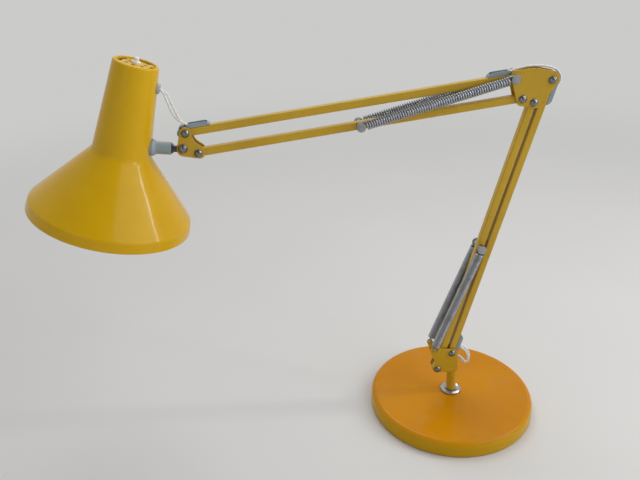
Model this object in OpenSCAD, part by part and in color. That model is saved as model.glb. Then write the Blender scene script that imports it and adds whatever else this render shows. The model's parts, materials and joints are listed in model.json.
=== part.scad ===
// Balanced-arm desk lamp: round weighted base, swivel bracket, two parallel-link arms
// held up by springs, and a spun shade on a tilting stem.
// Origin at the centre of the base's underside, +Z up, arms in the XZ plane, head towards -X.

/* [Base] */
// Diameter of the round base
base_d = 230; // [190:1:270]
// Height of the base over the table
base_h = 22; // [20:0.5:30]
// Radius of the base cover's top edge
base_edge_r = 8; // [4:0.5:10]
// Sheet thickness of the base cover
cover_t = 1.5; // [1:0.1:2]
// Thickness of the felt under the base
felt_t = 2; // [1:0.25:3]
// Diameter of the chrome collar on the base
collar_d = 29.5; // [26:0.5:36]
// Height of the chrome collar
collar_h = 4.6; // [4:0.1:7]
// Diameter of the hollow post
post_d = 14.2; // [12:0.1:15]
// Bore of the post that the flex runs down
post_bore_d = 8.4; // [7:0.1:8.8]
// Length of post that shows between collar and bracket
post_show = 32.4; // [24:0.2:50]

/* [Arms] */
// Pivot to pivot length of the lower arm
lower_len = 390; // [320:1:460]
// Lean of the lower arm back from upright, in degrees
lower_lean = 14; // [6:0.5:16]
// Pivot to pivot length of the upper arm
upper_len = 387; // [320:1:460]
// Drop of the upper arm towards the head, in degrees
upper_drop = 7.2; // [0:0.1:20]
// Outer width of the square arm tubes
tube_w = 9.5; // [9:0.1:10.5]
// Wall of the arm tubes
tube_t = 1; // [0.7:0.05:1.2]
// Outer corner radius of the arm tubes
tube_r = 1.5; // [1.25:0.05:2]
// Length of tube beyond each pivot
tube_over = 5; // [4.5:0.1:5.2]
// Diameter of the pivot bolts
bolt_d = 5; // [4:0.1:5.4]
// Outer diameter of the bushes in the tubes
bush_d = 7; // [6.6:0.1:7.4]
// Diameter of the domed bolt heads and nuts
head_d = 9.5; // [8.5:0.1:10.5]
// Height of the domed bolt heads and nuts
head_h = 3.6; // [3:0.1:5]

/* [Plates] */
// Sheet thickness of the bracket and the side plates
plate_t = 1.6; // [1.2:0.1:2]
// Thickness of the washers beside the tubes at the bracket and elbow
washer_t = 1; // [0.6:0.1:1.4]
// Thickness of the washers beside the tubes at the head
head_washer_t = 0.5; // [0.4:0.1:0.8]
// Diameter of all the washers
washer_d = 9; // [8:0.1:9.4]
// How far the bracket's spring ears stand out from the middle plane
ear_y = 11.2; // [11.2:0.1:14]

/* [Springs] */
// Outer diameter of the tension springs
spring_d = 11.4; // [9:0.1:11.6]
// Diameter of the spring wire
wire_d = 1.5; // [1.2:0.05:2]
// Curls of each spring
spring_curls = 22; // [10:1:24]
// Diameter of the spring pins
pin_d = 6; // [5:0.1:7]
// Diameter of the flat heads of the spring pins
pin_head_d = 11; // [9:0.1:13]
// Thickness of the flat heads of the spring pins
pin_head_t = 1.9; // [1.5:0.1:3.5]

/* [Head] */
// Slope of the stem, up from the tilt pivot to the shade, in degrees
stem_rise = 6.5; // [0:0.5:10]
// Distance of the stem's line below the tilt pivot
stem_drop = 2.4; // [0:0.1:3]
// Tilt pivot to shade axis
stem_reach = 69.8; // [68:0.2:80]
// Diameter of the stem's shaft
shaft_d = 8; // [7:0.1:9]
// Diameter of the grey collar between stem and shade
neck_collar_d = 14.8; // [13:0.1:16]
// Diameter of the tilt bolt's head
tilt_head_d = 11; // [10:0.1:13]
// Lean of the shade's axis, in degrees
shade_lean = 17.2; // [0:0.1:30]
// Outer diameter of the shade's neck at the top
neck_top_d = 50.8; // [48:0.2:56]
// Outer diameter of the neck where the cone starts
neck_low_d = 66.8; // [66:0.2:72]
// Length of the neck
neck_h = 105.6; // [102:0.2:125]
// Height of the cone from the neck to the rim's crease
cone_h = 73; // [60:1:95]
// Diameter of the cone at the rim's crease
crease_d = 189.6; // [165:0.2:220]
// Height of the band below the crease
band_h = 12; // [6:0.5:20]
// Diameter of the shade's mouth
mouth_d = 192.8; // [168:0.2:224]
// Sheet thickness of the shade
shade_t = 1; // [0.7:0.1:1.4]
// Diameter of the bulb
bulb_d = 58; // [45:1:60]
// Diameter of the push button
button_d = 5.6; // [4:0.1:6]
// Travel of the push button
button_travel = 2.5; // [1:0.1:3]

/* [Flex] */
// Width of the flat twin flex
flex_w = 5.3; // [4:0.1:5.6]
// Thickness of the flat twin flex
flex_t = 2.7; // [2:0.1:3]
// Length of the grey flex guides on the tubes
guide_len = 27; // [24:0.5:34]
// Height of the grey flex guides
guide_h = 4.9; // [4:0.1:7]

/* [Hidden] */
$fn = 64;
eps = 0.01;
run_gap = 0.05;    // radial gap of a running fit
seat_gap = 0.02;   // gap of a pressed or bonded piece
side_play = 0.1;   // play beside a tube at a pivot
clear = 0.3;       // room between loose neighbours
big = 400;

// Pivots in the arm plane, as [x, z]
bracket_z = base_h + collar_h + post_show;
link_lower = [19.5, 26];
link_upper = [-12.6, 24.6];
elbow_step = [-14, 4.6];
tilt_step = [-4.8, -18.2];
lower_dir = [sin(lower_lean), cos(lower_lean)];
upper_dir = [-cos(upper_drop), -sin(upper_drop)];
lower_front_pivot = [-23.8, bracket_z + 5.3];
lower_rear_pivot = lower_front_pivot + link_lower;
elbow_front_pivot = lower_front_pivot + lower_len*lower_dir;
elbow_rear_pivot = lower_rear_pivot + lower_len*lower_dir;
upper_bottom_pivot = elbow_front_pivot + elbow_step;
upper_top_pivot = upper_bottom_pivot + link_upper;
head_bottom_pivot = upper_bottom_pivot + upper_len*upper_dir;
head_top_pivot = upper_top_pivot + upper_len*upper_dir;
tilt_pivot = head_top_pivot + tilt_step;
lower_pin = lower_front_pivot + lower_len/2*lower_dir;
upper_pin = upper_bottom_pivot + upper_len/2*upper_dir;
ear_eye = lower_front_pivot + [-8.2, 35.7];

// Heights of the layers out from the middle plane, along Y
arm_gap = tube_w/2 + side_play + washer_t;
head_gap = tube_w/2 + side_play + head_washer_t;
arm_out = arm_gap + plate_t;
head_out = head_gap + plate_t;
spring_y = max(ear_y, tube_w/2 + spring_d/2 + 0.6);
pin_in = spring_y + wire_d/2 + 0.35;
pin_step_d = pin_d + 3;
pin_step_y = spring_y - wire_d/2 - clear;

// Sizes inside the base
socket_d = 20;
socket_low = 9;
ledge_t = 1.5;
socket_nut_d = 34;
socket_nut_h = 6;
weight_edge = base_edge_r;
gland_z = felt_t + 6;
groove_w = 9;
groove_h = 7.5;
post_low = socket_low + ledge_t + run_gap;
post_spigot_d = post_bore_d + 2.4;
shelf_t = 2;
post_top = bracket_z + shelf_t + 4;

// Sizes of the head, along the shade's own axis from the point where the stem's line meets it
stem_up = 7;
neck_low_z = -stem_up;
neck_top_z = neck_low_z + neck_h;
crease_z = neck_low_z - cone_h;
mouth_z = crease_z - band_h;
lip_d = 2*(neck_top_d/2 - 4.2);
lip_h = 1.8;
cap_t = 1.2;
cap_z = neck_top_z - lip_h - cap_t;
neck_slope = (neck_low_d - neck_top_d)/2/neck_h;
grommet_z = neck_low_z + 0.782*neck_h;
eye_d = 15;
eye_t = 2*(head_gap - 1.35);
tilt_washer_t = 1.2;
shoulder_x = 13.4;
saddle_t = 2.6;
stem_nut_t = 3;
neck_low_r = neck_low_d/2;
stem_lift = shade_lean - stem_rise;
wall_x = neck_low_r/cos(stem_lift);
holder_d = 34;
holder_low = 30;
holder_top = cap_z - 8;
bezel_d = 10.5;
bezel_h = 3;
bush_thread_d = 8;
button_show = 4.3;

// Routes of the flex: chosen points [x, z] in the arm plane, from the pivot that each loop passes,
// then the post's run as [y, z]
flex_head_route = [for (p = [[-33, 53.6], [-29.2, 52.4], [-25.4, 51.2], [-21.4, 49.2], [-18, 44.8],
    [-15.6, 38], [-13.4, 30.6], [-11, 23.6], [-8, 17.6], [-4, 13], [0.4, 9.8], [3.2, 8.4]])
    head_top_pivot + p];
flex_elbow_route = [for (p = [[-51.2, 10.2], [-47, 11.4], [-42, 13], [-36, 14.4], [-29, 15.6], [-21, 16],
    [-12, 15.6], [-4, 14.4], [3, 12], [8.6, 8], [11.6, 2.4], [11.4, -3.4], [9, -7.6], [6.2, -10.8]])
    elbow_rear_pivot + p];
flex_base_route = [for (p = [[10.8, 11.8], [12.4, 9.2], [15.2, 6.2], [18.8, 3], [22.4, -1], [25.6, -6.8],
    [26.8, -13.2], [26, -19], [23, -21.6], [19.6, -19], [16, -14.4], [12.4, -10.8], [8.4, -10.2],
    [5.2, -13.8], [4.4, -19.2], [4.4, -24.2]])
    lower_rear_pivot + p];
flex_post_route = [[0, post_top + 0.4], [0, post_top - 9], [0, post_top - 19], [0, base_h + 14],
    [0, base_h + 4], [0, base_h - 6], [0.8, 10.6], [3.4, 7], [8, 5.8], [18, 5.8], [38, 5.8], [58, 5.8],
    [78, 6], [base_d/2 - 21, 7], [base_d/2 - 9, gland_z], [base_d/2, gland_z]];
// Ends of the flex in a tube: [distance from the pivot, height over the tube's middle]
flex_dive = [[4.6, 7.5], [8.2, 7], [12.6, 5.2], [18, 2.8], [24, 0.9], [31, 0]];
flex_rise_low = [[14.6, 7.3], [18, 5.3], [22, 3.1], [27, 1], [33, 0]];
flex_rise_top = [[9.6, 8.4], [13, 6.6], [17, 4.4], [21.5, 2.2], [26.5, 0.7], [33, 0]];

enamel = [0.87, 0.64, 0.05];
grey = [0.55, 0.6, 0.64];
steel = [0.72, 0.72, 0.7];
chrome = [0.85, 0.86, 0.88];
white = [0.93, 0.93, 0.9];

// Small vector helpers
function unit(v) = v/norm(v);
function to3(p, y = 0) = [p[0], y, p[1]];
function square_to(n, t) = unit(n - t*(n*t));

// Corner p between a and b, rounded by radius r with n steps
function corner_arc(a, p, b, r, n = 6) =
    let (u = unit(a - p), v = unit(b - p))
    let (half = acos(max(-1, min(1, u*v)))/2)
    let (mid = p + r/sin(half)*unit(u + v))
    let (from = p + r/tan(half)*u - mid, to = p + r/tan(half)*v - mid)
    let (sweep_angle = 180 - 2*half, side = sign(from[0]*to[1] - from[1]*to[0]))
    [for (i = [0:n]) let (w = side*sweep_angle*i/n)
        mid + [from[0]*cos(w) - from[1]*sin(w), from[0]*sin(w) + from[1]*cos(w)]];

// Closed outline whose corners [x, y, r] are rounded
function rounded(c) = [for (i = [0:len(c) - 1])
    let (a = c[(i + len(c) - 1) % len(c)], p = c[i], b = c[(i + 1) % len(c)])
    each corner_arc([a[0], a[1]], [p[0], p[1]], [b[0], b[1]], p[2])];

// Open line whose inner corners [x, y, r] are rounded
function rounded_line(c) = [for (i = [0:len(c) - 1])
    let (p = [c[i][0], c[i][1]])
    each (i == 0 || i == len(c) - 1) ? [p]
        : corner_arc([c[i - 1][0], c[i - 1][1]], p, [c[i + 1][0], c[i + 1][1]], c[i][2])];

// A line moved to its right by d
function right_of(l, d) = [for (i = [0:len(l) - 1])
    let (a = unit(l[min(i + 1, len(l) - 1)] - l[min(i, len(l) - 2)]))
    let (b = unit(l[max(i, 1)] - l[max(i - 1, 0)]))
    let (na = [a[1], -a[0]], nb = [b[1], -b[0]], m = unit(na + nb))
    l[i] + d/(m*na)*m];

function reversed(l) = [for (i = [len(l) - 1:-1:0]) l[i]];
function sheet(l, t) = concat(l, reversed(right_of(l, t)));
function square_outline(w, r) = rounded([[w/2, w/2, r], [-w/2, w/2, r], [-w/2, -w/2, r], [w/2, -w/2, r]]);
function with_corner(p, d, r) = [p[0] + d[0], p[1] + d[1], r];

// Directions along a swept line, and a side direction carried along it without twist
function line_dir(l, i) = unit(l[min(i + 1, len(l) - 1)] - l[max(i - 1, 0)]);
function carried(l, n0) = [for (i = 0, n = square_to(n0, line_dir(l, 0)); i < len(l);
    i = i + 1, n = square_to(n, line_dir(l, min(i, len(l) - 1)))) n];

// Solid swept along 3-D points with one cross-section
module sweep(l, section, n0) {
    m = len(section);
    k = len(l);
    sides = carried(l, n0);
    points = [for (i = [0:k - 1]) let (t = line_dir(l, i), n = sides[i], b = cross(t, n))
        each [for (s = section) l[i] + s[0]*n + s[1]*b]];
    walls = [for (i = [0:k - 2], j = [0:m - 1]) let (a = i*m + j, b = i*m + (j + 1) % m)
        each [[a, a + m, b], [b, a + m, b + m]]];
    ends = [for (j = [1:m - 2]) each [[0, j, j + 1], [(k - 1)*m, (k - 1)*m + j + 1, (k - 1)*m + j]]];
    polyhedron(points, concat(walls, ends));
}

flex_section = [[flex_w/2, flex_t/4], [flex_w/2 - flex_t/4, flex_t/2], [flex_t/4 - flex_w/2, flex_t/2],
    [-flex_w/2, flex_t/4], [-flex_w/2, -flex_t/4], [flex_t/4 - flex_w/2, -flex_t/2],
    [flex_w/2 - flex_t/4, -flex_t/2], [flex_w/2, -flex_t/4]];
wire_section = [for (i = [0:5]) wire_d/2*[cos(60*i), sin(60*i)]];

module flex_along(l) {
    color(white) sweep(l, flex_section, [0, 1, 0]);
}

// Outline in the arm plane made into a plate from y0 to y1
module plate(outline, y0, y1) {
    translate([0, y1, 0]) rotate([90, 0, 0]) linear_extrude(y1 - y0) polygon(outline);
}

// Round piece across the arm plane at pivot p
module across(p, d, y0, y1) {
    translate([p[0], y1, p[1]]) rotate([90, 0, 0]) cylinder(d = d, h = y1 - y0);
}

// Frame of a tube that starts at p: x along the tube, z to its upper left side
module along(p, dir) {
    translate(to3(p)) rotate([0, -atan2(dir[1], dir[0]), 0]) children();
}

// Fasteners

// Half section of a domed head that stands on z = 0
function dome_section(d, h) = let (rim = h/4, r = d/2, bend = ((h - rim)*(h - rim) + r*r)/(2*(h - rim)))
    let (reach = asin(r/bend))
    concat([[0, 0], [r, 0]],
        [for (i = [0:8]) let (w = reach*(1 - i/8)) [bend*sin(w), h - bend + bend*cos(w)]]);

module dome(p, d, h, y, out) {
    translate([p[0], y, p[1]]) rotate([out > 0 ? -90 : 90, 0, 0])
        rotate_extrude() polygon(dome_section(d, h));
}

// Bolt through both plates, whose outer faces lie at -out and +out
module pivot_bolt(p, out, d = head_d, h = head_h) {
    color(chrome) {
        dome(p, d, h, -out, -1);
        across(p, bolt_d, -out - eps, out + h - 1.4);
    }
}

module pivot_nut(p, out, d = head_d, h = head_h) {
    color(chrome) difference() {
        dome(p, d, h, out, 1);
        across(p, bolt_d + 2*run_gap, out - 1, out + h - 1.2);
    }
}

module pivot_washers(p, t) {
    color(white) for (s = [-1, 1]) difference() {
        across(p, washer_d, s > 0 ? tube_w/2 + side_play : -tube_w/2 - side_play - t,
            s > 0 ? tube_w/2 + side_play + t : -tube_w/2 - side_play);
        across(p, bolt_d + 2*run_gap, -big, big);
    }
}

// Spring pin with flat riveted heads, and a spacer on each side from y0 out to the springs
module spring_pin(p, core, y0) {
    color(steel) {
        across(p, pin_head_d, -pin_in - pin_head_t, -pin_in);
        across(p, pin_head_d, pin_in, pin_in + pin_head_t);
        across(p, core, -pin_in - eps, pin_in + eps);
        for (s = [-1, 1]) difference() {
            across(p, pin_step_d, s > 0 ? y0 : -pin_step_y, s > 0 ? pin_step_y : -y0);
            across(p, core + 2*run_gap, -big, big);
        }
    }
}

// Tension springs

// Middle line of a spring from a to b: straight ends, a run out to the coil, and the curls
function spring_line(a, b) =
    let (u = unit(b - a), p = unit(cross(u, [0, 1, 0])), q = cross(u, p))
    let (r = (spring_d - wire_d)/2, lead = 2*wire_d, total = norm(b - a), span = total - 2*lead - 2*r)
    let (steps = 8*spring_curls)
    concat([a, a + wire_d*u, a + lead*u + 0.35*r*p],
        [for (i = [0:steps]) let (w = 360*i/8)
            a + (lead + r + span*i/steps)*u + r*(cos(w)*p + sin(w)*q)],
        [b - lead*u + 0.35*r*p, b - wire_d*u, b]);

// Least gap between points of a spring that lie more than half a curl apart
function self_gap(l) = min([for (i = [0:len(l) - 1], j = [i + 5:1:min(len(l) - 1, i + 20)])
    norm(l[i] - l[j])]) - wire_d;

function lower_spring_line(s) = let (u = unit(lower_pin - ear_eye))
    spring_line(to3(ear_eye + (ear_r + 0.2)*u, s*spring_y), to3(lower_pin - (pin_d/2 + 0.2)*u, s*spring_y));
function upper_spring_line(s) = let (u = unit(upper_top_pivot - upper_pin))
    spring_line(to3(upper_pin + (pin_d/2 + 0.2)*u, s*spring_y),
        to3(upper_top_pivot - (bolt_d/2 + 0.2)*u, s*spring_y));

module spring(l) {
    color(steel) sweep(l, wire_section, [0, 1, 0]);
}

echo(least_gap_lower_spring = self_gap(lower_spring_line(1)));
echo(least_gap_upper_spring = self_gap(upper_spring_line(1)));

// Base

cover_line = rounded_line([[socket_d/2 + 2*run_gap, base_h, 0], [base_d/2, base_h, base_edge_r],
    [base_d/2, felt_t/2, 0]]);

module base_cover() {
    color(enamel) difference() {
        rotate_extrude($fn = 128) polygon(sheet(cover_line, cover_t));
        translate([0, base_d/2 - 6, gland_z]) rotate([-90, 0, 0]) cylinder(d = gland_d + 2*seat_gap, h = 10);
    }
}

module base_weight() {
    r = base_d/2 - cover_t - clear;
    top = base_h - cover_t - clear;
    edge = weight_edge*0.8;
    color([0.3, 0.3, 0.31]) difference() {
        rotate_extrude($fn = 128) polygon([[socket_nut_d/2 + 1.5, felt_t], [r, felt_t], [r, top - edge],
            [r - edge, top], [socket_nut_d/2 + 1.5, top]]);
        translate([-groove_w/2, 0, felt_t - 1]) cube([groove_w, base_d, groove_h + 1]);
        translate([0, base_d/2 - cover_t - 6, gland_z]) rotate([-90, 0, 0]) cylinder(d = gland_d + 1, h = 20);
    }
}

module base_felt() {
    color([0.15, 0.25, 0.18]) cylinder(d = base_d - 2*cover_t - 2*clear, h = felt_t, $fn = 128);
}

module base_collar() {
    color(chrome) difference() {
        union() {
            translate([0, 0, base_h]) rotate_extrude($fn = 96) polygon(rounded([[0, 0, 0.01],
                [collar_d/2, 0, 0.4], [collar_d/2, collar_h*0.55, 1.2], [collar_d/2 - 2.6, collar_h, 1.4],
                [post_d/2 + 1.4, collar_h*0.8, 0.5], [0, collar_h*0.8, 0.01]]));
            translate([0, 0, socket_low]) cylinder(d = socket_d, h = base_h - socket_low + eps);
        }
        translate([0, 0, socket_low + ledge_t]) cylinder(d = post_d + 2*run_gap, h = base_h + collar_h);
        translate([0, 0, socket_low - 1]) cylinder(d = post_bore_d, h = base_h);
    }
}

module collar_nut() {
    color(steel) translate([0, 0, base_h - cover_t - socket_nut_h]) difference() {
        cylinder(d = socket_nut_d, h = socket_nut_h, $fn = 6);
        translate([0, 0, -1]) cylinder(d = socket_d + 2*seat_gap, h = socket_nut_h + 2);
    }
}

gland_d = 8.5;
gland_flange_d = 12;

module lead_gland() {
    y_wall = base_d/2;
    color(grey) translate([0, y_wall, gland_z]) rotate([-90, 0, 0]) difference() {
        union() {
            translate([0, 0, -cover_t - 2]) cylinder(d = gland_d, h = cover_t + 2 + eps);
            cylinder(d1 = gland_flange_d, d2 = gland_d, h = 4);
        }
        translate([0, 0, -10]) cylinder(d = flex_w + 2*clear, h = 20);
    }
}

// Swivel bracket

module pivot_post() {
    color(enamel) difference() {
        union() {
            translate([0, 0, post_low]) cylinder(d = post_d, h = bracket_z - post_low);
            translate([0, 0, bracket_z - eps]) cylinder(d = post_spigot_d, h = post_top - bracket_z + eps);
        }
        translate([0, 0, post_low - 1]) cylinder(d = post_bore_d, h = post_top);
    }
}

ear_r = 4;
ear_lean = 17;
shelf_front = 13;
shelf_back = 6;
function ear_place(x, z, r) = with_corner(ear_eye,
    [x*cos(ear_lean) - z*sin(ear_lean), x*sin(ear_lean) + z*cos(ear_lean)], r);
cheek_outline = rounded([ear_place(-ear_r, -8.5, 0.4), ear_place(ear_r, -8.5, 0.4),
    with_corner(lower_front_pivot, [-0.6, 35], 2), with_corner(lower_rear_pivot, [7.8, 6], 6),
    [shelf_back, bracket_z, 3], with_corner(lower_front_pivot, [-2, -5.3], 5),
    with_corner(lower_front_pivot, [-7.6, 2.4], 4), with_corner(lower_front_pivot, [-3.6, 12.5], 6)]);

// Spring ear: bent out from the cheek, with an eye for the spring's hook
module spring_ear() {
    mid = arm_gap + plate_t/2;
    bend = [[-10, mid], [-7.5, mid], [-2, spring_y], [ear_r, spring_y]];
    translate(to3(ear_eye)) rotate([0, -ear_lean, 0]) difference() {
        translate([-ear_r, 0, 0]) rotate([90, 0, 90]) linear_extrude(2*ear_r)
            polygon([for (p = concat(right_of(bend, -plate_t/2), reversed(right_of(bend, plate_t/2))))
                [p[1], p[0]]]);
        rotate([90, 0, 0]) cylinder(d = 2*wire_d + 0.4, h = big, center = true);
        difference() {
            translate([-2*ear_r, 0, 0]) cube([4*ear_r, big, 2*ear_r]);
            rotate([90, 0, 0]) cylinder(r = ear_r, h = 3*big, center = true);
        }
    }
}

module swivel_bracket() {
    color(enamel) difference() {
        union() {
            for (s = [0, 1]) mirror([0, s, 0]) {
                plate(cheek_outline, arm_gap, arm_out);
                spring_ear();
            }
            translate([-shelf_front, -arm_gap - eps, bracket_z])
                cube([shelf_front + shelf_back - 3, 2*(arm_gap + eps), shelf_t]);
        }
        for (p = [lower_front_pivot, lower_rear_pivot]) across(p, bolt_d + 2*run_gap, -big, big);
        translate([0, 0, bracket_z - 1]) cylinder(d = post_spigot_d + 2*seat_gap, h = shelf_t + 2);
    }
}

module bracket_bolts() {
    for (p = [lower_front_pivot, lower_rear_pivot]) pivot_bolt(p, arm_out);
}

module bracket_nuts() {
    for (p = [lower_front_pivot, lower_rear_pivot]) pivot_nut(p, arm_out);
}

module bracket_washers() {
    for (p = [lower_front_pivot, lower_rear_pivot]) pivot_washers(p, washer_t);
}

// Arm tubes

slot_at = 7.5;
slot_len = 19;
slot_w = flex_w + 1;

module arm_tube(length, slots = 0) {
    full = length + 2*tube_over;
    color(enamel) difference() {
        translate([-tube_over, 0, 0]) rotate([90, 0, 90]) linear_extrude(full)
            polygon(square_outline(tube_w, tube_r));
        translate([-tube_over - 1, 0, 0]) rotate([90, 0, 90]) linear_extrude(full + 2)
            polygon(square_outline(tube_w - 2*tube_t, tube_r - tube_t));
        for (x = [0, length]) translate([x, 0, 0]) rotate([90, 0, 0])
            cylinder(d = bush_d + 2*seat_gap, h = 2*tube_w, center = true);
        if (slots != 0) for (x = [slot_at, length - slot_at - slot_len])
            translate([x, -slot_w/2, slots > 0 ? 0 : -tube_w]) cube([slot_len, slot_w, tube_w]);
    }
}

module arm_bushes(length, loose_start = 0, loose_end = 0) {
    color([0.8, 0.6, 0.3]) for (e = [[0, loose_start], [length, loose_end]])
        translate([e[0], 0, 0]) rotate([90, 0, 0]) difference() {
            cylinder(d = bush_d, h = tube_w, center = true);
            cylinder(d = bolt_d + 2*run_gap + 2*e[1], h = 2*tube_w, center = true);
        }
}

// Open pivots of the two linkages have this much more radial room
open_room = 0.1;

// Flex guide on a tube: a channel with an open mouth at x = 0 and a sloped closed end
module flex_guide() {
    wall = (tube_w - 0.6 - slot_w)/2;
    end = 3;
    color(grey) translate([0, 0, tube_w/2]) difference() {
        plate([[0, 0], [guide_len, 0], [guide_len - 1, guide_h*0.45], [guide_len - end - 2, guide_h],
            [2, guide_h], [0, guide_h*0.7]], -slot_w/2 - wall, slot_w/2 + wall);
        translate([-1, -slot_w/2, 0.8]) cube([guide_len - end + 1, slot_w, guide_h]);
        translate([slot_at - guide_at, -slot_w/2, -1]) cube([slot_len, slot_w, guide_h]);
    }
}

guide_at = 3;

// Rounded cap on the tube's head end with a small hoop that the flex lies over
module tube_end_cap() {
    half = tube_w/2 - 0.45;
    hoop_r = 4.2;
    color(grey) {
        intersection() {
            translate([-tube_over, 0, 0]) rotate([90, 0, 0]) cylinder(d = tube_w, h = 2*half, center = true);
            translate([-tube_over - tube_w, -half, -tube_w/2]) cube([tube_w - seat_gap, 2*half, 2*tube_w]);
        }
        translate([-tube_over - 1.2, -half, tube_w/2 - 0.6]) cube([1.2 - seat_gap, 2*half, 1.6]);
        translate([-tube_over - 1.2, -half, tube_w/2 + seat_gap])
            cube([tube_over + guide_at + 1.2, 2*half, 1 - seat_gap]);
        translate([-3.4, 0, tube_w/2 + 0.6]) intersection() {
            rotate([90, 0, 0]) difference() {
                cylinder(r = hoop_r - 1, h = 2*half, center = true);
                cylinder(r = hoop_r - 2, h = 3*half, center = true);
            }
            translate([-hoop_r, -half, 0]) cube([2*hoop_r, 2*half, hoop_r]);
        }
    }
}

module lower_front_tube() {
    along(lower_front_pivot, lower_dir) difference() {
        arm_tube(lower_len);
        translate([lower_len/2, 0, 0]) rotate([90, 0, 0])
            cylinder(d = pin_d + 2*seat_gap, h = 2*tube_w, center = true);
    }
}

module lower_front_bushes() {
    along(lower_front_pivot, lower_dir) arm_bushes(lower_len, 0, open_room);
}

module lower_spring_pin() {
    spring_pin(lower_pin, pin_d, tube_w/2 + seat_gap);
}

module lower_spring_front() {
    spring(lower_spring_line(-1));
}

module lower_spring_back() {
    spring(lower_spring_line(1));
}

module lower_rear_tube() {
    along(lower_rear_pivot, lower_dir) arm_tube(lower_len, -1);
}

module lower_rear_bushes() {
    along(lower_rear_pivot, lower_dir) arm_bushes(lower_len);
}

module lower_flex_guides() {
    along(lower_rear_pivot, lower_dir) mirror([0, 0, 1]) {
        translate([guide_at, 0, 0]) flex_guide();
        translate([lower_len - guide_at, 0, 0]) mirror([1, 0, 0]) flex_guide();
    }
}

// Elbow

elbow_outline = rounded([with_corner(upper_top_pivot, [-5.4, 8.6], 5),
    with_corner((upper_top_pivot + elbow_rear_pivot)/2, [1, 13.2], 40),
    with_corner(elbow_rear_pivot, [8.4, 8.6], 9), with_corner(elbow_rear_pivot, [7.8, -3.4], 6),
    with_corner(elbow_front_pivot, [5.4, -7.4], 5),
    with_corner(upper_bottom_pivot, [-5.6, -7.4], 5)]);

module elbow_plate(s) {
    color(enamel) mirror([0, s < 0 ? 1 : 0, 0]) difference() {
        plate(elbow_outline, arm_gap, arm_out);
        for (p = [upper_top_pivot, upper_bottom_pivot, elbow_front_pivot, elbow_rear_pivot])
            across(p, bolt_d + 2*run_gap, -big, big);
    }
}

module elbow_plate_front() {
    elbow_plate(-1);
}

module elbow_plate_back() {
    elbow_plate(1);
}

module elbow_bolts() {
    for (p = [upper_bottom_pivot, elbow_front_pivot, elbow_rear_pivot]) pivot_bolt(p, arm_out);
}

module elbow_nuts() {
    for (p = [upper_bottom_pivot, elbow_front_pivot, elbow_rear_pivot]) pivot_nut(p, arm_out);
}

module elbow_washers() {
    for (p = [upper_bottom_pivot, upper_top_pivot, elbow_front_pivot, elbow_rear_pivot])
        pivot_washers(p, washer_t);
}

module elbow_spring_pin() {
    spring_pin(upper_top_pivot, bolt_d, arm_out + seat_gap);
}

// Upper arm, with x from the head towards the elbow

module upper_top_tube() {
    along(head_top_pivot, -upper_dir) arm_tube(upper_len, 1);
}

module upper_top_bushes() {
    along(head_top_pivot, -upper_dir) arm_bushes(upper_len);
}

module upper_flex_guide() {
    along(head_top_pivot, -upper_dir) translate([upper_len - guide_at, 0, 0]) mirror([1, 0, 0]) flex_guide();
}

module head_flex_guide() {
    along(head_top_pivot, -upper_dir) {
        translate([guide_at, 0, 0]) flex_guide();
        tube_end_cap();
    }
}

module upper_bottom_tube() {
    along(head_bottom_pivot, -upper_dir) difference() {
        arm_tube(upper_len);
        translate([upper_len/2, 0, 0]) rotate([90, 0, 0])
            cylinder(d = pin_d + 2*seat_gap, h = 2*tube_w, center = true);
    }
}

module upper_bottom_bushes() {
    along(head_bottom_pivot, -upper_dir) arm_bushes(upper_len, open_room, 0);
}

module upper_spring_pin() {
    spring_pin(upper_pin, pin_d, tube_w/2 + seat_gap);
}

module upper_spring_front() {
    spring(upper_spring_line(-1));
}

module upper_spring_back() {
    spring(upper_spring_line(1));
}

// Head knuckle

knuckle_outline = rounded([with_corner(head_top_pivot, [-5.2, 7.2], 6),
    with_corner(head_top_pivot, [6.6, 7.2], 6),
    with_corner(head_top_pivot, [7.8, -9.4], 14), with_corner(head_bottom_pivot, [9.4, 4.4], 6.5),
    with_corner(head_bottom_pivot, [6, -7.2], 6), with_corner(tilt_pivot, [-8.6, -7.6], 7.5)]);

module knuckle_plate(s) {
    color(enamel) mirror([0, s < 0 ? 1 : 0, 0]) difference() {
        plate(knuckle_outline, head_gap, head_out);
        for (p = [head_top_pivot, head_bottom_pivot, tilt_pivot]) across(p, bolt_d + 2*run_gap, -big, big);
    }
}

module head_plate_front() {
    knuckle_plate(-1);
}

module head_plate_back() {
    knuckle_plate(1);
}

module head_bolts() {
    for (p = [head_top_pivot, head_bottom_pivot]) pivot_bolt(p, head_out);
}

module head_nuts() {
    for (p = [head_top_pivot, head_bottom_pivot]) pivot_nut(p, head_out);
}

module head_washers() {
    for (p = [head_top_pivot, head_bottom_pivot]) pivot_washers(p, head_washer_t);
}

module tilt_bolt() {
    pivot_bolt(tilt_pivot, head_out, tilt_head_d, head_h + 0.6);
}

module tilt_nut() {
    pivot_nut(tilt_pivot, head_out, tilt_head_d, head_h + 0.6);
}

// Eye frame: origin at the tilt pivot, x along the stem away from the shade
module eye_frame() {
    translate(to3(tilt_pivot)) rotate([0, stem_rise, 0]) children();
}

// Stem frame: the same on the line of the stem's shaft
module stem_frame() {
    eye_frame() translate([0, 0, -stem_drop]) children();
}

// Shade frame: origin where the stem's line meets the shade's axis, z up that axis
module shade_frame() {
    stem_frame() translate([-stem_reach, 0, 0]) rotate([0, shade_lean - stem_rise, 0]) children();
}

// Round piece on the stem's line, from x0 towards the shade to x1
module on_stem(d, x0, x1) {
    translate([x1, 0, 0]) rotate([0, 90, 0]) cylinder(d = d, h = x0 - x1);
}

nut_x = -stem_reach + wall_x - shade_t - saddle_t - 0.35;
shaft_end = nut_x - stem_nut_t - 0.4;

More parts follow.
